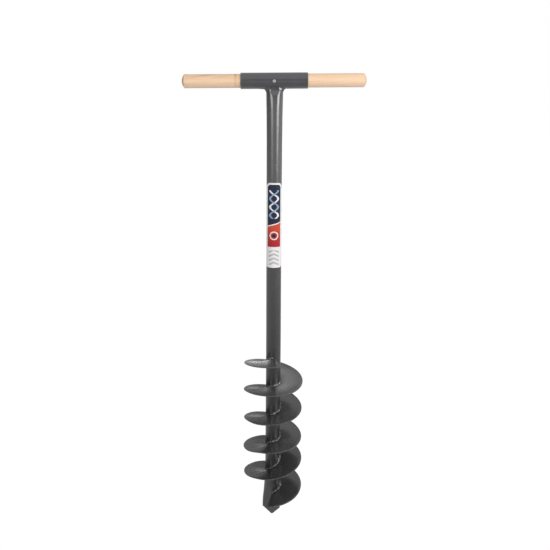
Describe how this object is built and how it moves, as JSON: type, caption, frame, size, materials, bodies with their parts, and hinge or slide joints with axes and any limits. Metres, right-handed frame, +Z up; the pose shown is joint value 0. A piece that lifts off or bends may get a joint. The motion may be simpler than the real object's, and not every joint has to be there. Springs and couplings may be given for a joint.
{
  "type": "hand earth auger",
  "caption": "T-handled hand earth auger: a wooden dowel in a steel sleeve, a tubular shaft with a helical flight, and a pressed V point for boring post holes.",
  "frame": {"origin": "foot of the shaft's axis, at the height of the tip; the pressed point itself leans 1.5 mm to the left of that axis and the handle sits 1.2 mm to the left of it", "axes": "+Z up the shaft from the point to the handle, +X along the wooden handle, -Y towards the front, the side that carries the screw and the label"},
  "size_m": [0.424, 0.1517, 1.1521],
  "materials": {
    "ash_wood": "sanded, thinly lacquered",
    "sleeve_paint": "dark grey satin paint",
    "tube_paint": "dark grey hammered paint",
    "blade_paint": "dark grey satin paint",
    "weld_paint": "painted over a rippled weld bead",
    "zinc": "bright zinc plate",
    "sticker": "printed film, blocks of red, navy and white"
  },
  "bodies": {
    "root": {"handle_dowel": "ash_wood", "handle_sleeve": "sleeve_paint", "handle_screw": "zinc", "socket_weld": "weld_paint", "shaft_tube": "tube_paint", "label": "sticker", "flight_1": "blade_paint", "flight_2": "blade_paint", "flight_3": "blade_paint", "flight_4": "blade_paint", "flight_5": "blade_paint", "flight_weld_1": "weld_paint", "flight_weld_2": "weld_paint", "flight_weld_3": "weld_paint", "flight_weld_4": "weld_paint", "flight_weld_5": "weld_paint", "flight_end_weld": "weld_paint", "seam_weld_1": "weld_paint", "seam_weld_2": "weld_paint", "seam_weld_3": "weld_paint", "seam_weld_4": "weld_paint"}
  },
  "joints": []
}
